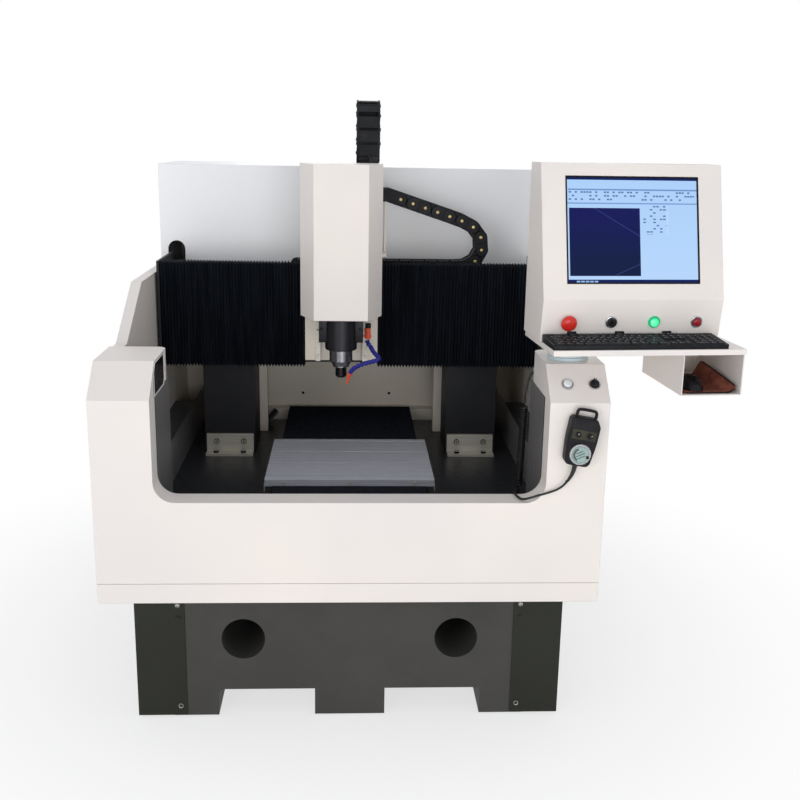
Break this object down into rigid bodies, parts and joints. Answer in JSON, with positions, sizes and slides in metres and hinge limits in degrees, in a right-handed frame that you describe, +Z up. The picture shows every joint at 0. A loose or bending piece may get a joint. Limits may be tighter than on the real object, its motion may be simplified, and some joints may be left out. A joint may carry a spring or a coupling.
{
  "type": "cnc engraving machine",
  "caption": "Enclosed CNC engraving and milling machine with moving T-slot table, fixed gantry, lifting spindle head, folding covers, cable chains and a swivelling operator console.",
  "frame": {"origin": "on the floor under the middle of the cabinet's width and depth, on the underside of the base's foot strips", "axes": "+X to the machine's right as the operator sees it, +Y from the operator to the rear, +Z up"},
  "size_m": [1.6028, 1.5693, 1.6561],
  "materials": {
    "cast_grey": "dark grey paint on a casting",
    "cast_black": "black paint on ground castings",
    "ivory_paint": "smooth warm ivory powder coat",
    "grey_paint": "smooth light grey powder coat",
    "black_sheet": "satin black sheet",
    "pan_paint": "dark oily paint of the wet area",
    "beige_paint": "warm beige-grey paint",
    "ground_steel": "ground and stainless steel",
    "bellows": "coated black fabric in fine folds",
    "chain_plastic": "black nylon links",
    "motor_black": "black motor and bearing housings",
    "table_aluminium": "brushed aluminium, grain along the slots",
    "anodised_black": "black anodised aluminium",
    "nose_chrome": "polished nose",
    "collet_steel": "blackened steel",
    "valve_orange": "orange plastic",
    "hose_blue": "blue segmented plastic",
    "knob_black": "black moulded plastic",
    "plinth_paint": "pale bluish paint",
    "display": "lit display with a plain drawing on it",
    "bezel_steel": "bright rings",
    "keyboard_plastic": "black keys",
    "mouse_plastic": "black mouse on a brown pad",
    "stop_red": "red mushroom",
    "lamp_green": "lit green cap",
    "button_red": "dark red cap",
    "button_white": "white cap",
    "pendant_plastic": "black moulded case",
    "dial_metal": "turned hand wheel",
    "cable_rubber": "black cable"
  },
  "bodies": {
    "machine": {"base_frame": "cast_grey", "base_covers": "black_sheet", "skirt": "ivory_paint", "front_shell": "ivory_paint", "side_wall_l": "ivory_paint", "side_wall_r": "ivory_paint", "hood": "grey_paint", "rear_panel": "grey_paint", "pan": "pan_paint", "back_wall": "beige_paint", "columns": "cast_black", "column_brackets": "ground_steel", "beam": "cast_black", "rails": "ground_steel", "axis_motors": "motor_black", "x_bellows_l": "bellows", "x_bellows_r": "bellows", "x_chain": "chain_plastic", "y_bellows_front": "bellows", "y_bellows_rear": "bellows", "console_plinth": "plinth_paint", "pillar_bezels": "bezel_steel", "pendant_body": "pendant_plastic", "cable_lower": "cable_rubber", "cable_curl": "cable_rubber", "cable_upper": "cable_rubber"},
    "gantry_screw": {"x_screw": "ground_steel"},
    "table_screw": {"y_screw": "ground_steel"},
    "table": {"table_plate": "table_aluminium", "table_saddle": "ground_steel", "table_trim": "ground_steel"},
    "cross_carriage": {"carriage": "beige_paint", "z_rails": "ground_steel", "z_motor": "motor_black", "z_chain": "chain_plastic"},
    "head_screw": {"z_screw": "ground_steel"},
    "head": {"z_plate": "cast_black", "spindle_clamp": "anodised_black", "spindle_body": "anodised_black", "spindle_nose": "nose_chrome", "head_cover": "ivory_paint", "coolant_valve": "valve_orange", "coolant_hose": "hose_blue"},
    "spindle": {"collet_nut": "collet_steel"},
    "valve_knob": {"coolant_knob": "knob_black"},
    "console": {"console_box": "ivory_paint", "console_tray": "ivory_paint", "screen": "display", "console_bezels": "bezel_steel", "keyboard": "keyboard_plastic", "mouse": "mouse_plastic"},
    "stop_button": {"estop": "stop_red"},
    "key": {"key_switch": "knob_black"},
    "start_button": {"green_button": "lamp_green"},
    "end_button": {"red_button": "button_red"},
    "white_button": {"pillar_button": "button_white"},
    "selector_knob": {"pillar_knob": "knob_black"},
    "hand_wheel": {"pendant_dial": "dial_metal"},
    "axis_selector": {"pendant_selector_l": "knob_black"},
    "step_selector": {"pendant_selector_r": "knob_black"}
  },
  "joints": [
    {"name": "x_slide", "type": "slide", "parent": "machine", "child": "cross_carriage", "axis": [1, 0, 0], "range_m": [-0.22, 0.27], "deforming": ["x_bellows_l", "x_bellows_r", "x_chain"]},
    {"name": "y_slide", "type": "slide", "parent": "machine", "child": "table", "axis": [0, 1, 0], "range_m": [-0.19, 0.19], "deforming": ["y_bellows_front", "y_bellows_rear"]},
    {"name": "z_slide", "type": "slide", "parent": "cross_carriage", "child": "head", "axis": [0, 0, 1], "range_m": [-0.19, 0.01], "deforming": ["z_chain"]},
    {"name": "x_screw_turn", "type": "hinge", "parent": "machine", "child": "gantry_screw", "pos_m": [0, 0.09, 0.971], "axis": [1, 0, 0], "range_deg": [-7930, 9730]},
    {"name": "y_screw_turn", "type": "hinge", "parent": "machine", "child": "table_screw", "pos_m": [-0.003, 0, 0.53], "axis": [0, 1, 0], "range_deg": [-6850, 6850]},
    {"name": "z_screw_turn", "type": "hinge", "parent": "cross_carriage", "child": "head_screw", "pos_m": [-0.0315, 0.0215, 1], "axis": [0, 0, 1], "range_deg": [-6850, 370]},
    {"name": "spindle_spin", "type": "hinge", "parent": "head", "child": "spindle", "pos_m": [-0.0315, -0.11, 0.85], "axis": [0, 0, 1], "continuous": true},
    {"name": "valve_turn", "type": "hinge", "parent": "head", "child": "valve_knob", "pos_m": [0.051, -0.07, 0.98], "axis": [0, 0, 1], "range_deg": [0, 720]},
    {"name": "console_swivel", "type": "hinge", "parent": "machine", "child": "console", "pos_m": [0.561, -0.585, 1.04], "axis": [0, 0, 1], "range_deg": [-60, 40]},
    {"name": "stop_press", "type": "slide", "parent": "console", "child": "stop_button", "axis": [-0.0792, 0.9842, 0.1584], "range_m": [0, 0.0035], "stiffness_N_per_m": 400},
    {"name": "key_turn", "type": "hinge", "parent": "console", "child": "key", "pos_m": [0.64493, -0.68055, 1.10672], "axis": [0.0792, -0.9842, -0.1584], "range_deg": [0, 90]},
    {"name": "start_press", "type": "slide", "parent": "console", "child": "start_button", "axis": [-0.0792, 0.9842, 0.1584], "range_m": [0, 0.0035], "stiffness_N_per_m": 400},
    {"name": "end_press", "type": "slide", "parent": "console", "child": "end_button", "axis": [-0.0792, 0.9842, 0.1584], "range_m": [0, 0.0035], "stiffness_N_per_m": 400},
    {"name": "white_press", "type": "slide", "parent": "machine", "child": "white_button", "axis": [0, 0.6727, -0.7399], "range_m": [0, 0.0035], "stiffness_N_per_m": 400},
    {"name": "selector_turn", "type": "hinge", "parent": "machine", "child": "selector_knob", "pos_m": [0.606, -0.709, 0.95227], "axis": [0, -0.6727, 0.7399], "range_deg": [-45, 45]},
    {"name": "wheel_turn", "type": "hinge", "parent": "machine", "child": "hand_wheel", "pos_m": [0.56114, -0.785, 0.79643], "axis": [0, -1, 0], "continuous": true},
    {"name": "axis_turn", "type": "hinge", "parent": "machine", "child": "axis_selector", "pos_m": [0.5547, -0.785, 0.8463], "axis": [0, -1, 0], "range_deg": [-75, 75]},
    {"name": "step_turn", "type": "hinge", "parent": "machine", "child": "step_selector", "pos_m": [0.58425, -0.785, 0.84109], "axis": [0, -1, 0], "range_deg": [-60, 60]}
  ],
  "couplings": [
    {"joint": "x_screw_turn", "follows": "x_slide", "rad_per_m": 628.32},
    {"joint": "y_screw_turn", "follows": "y_slide", "rad_per_m": 628.32},
    {"joint": "z_screw_turn", "follows": "z_slide", "rad_per_m": 628.32}
  ]
}
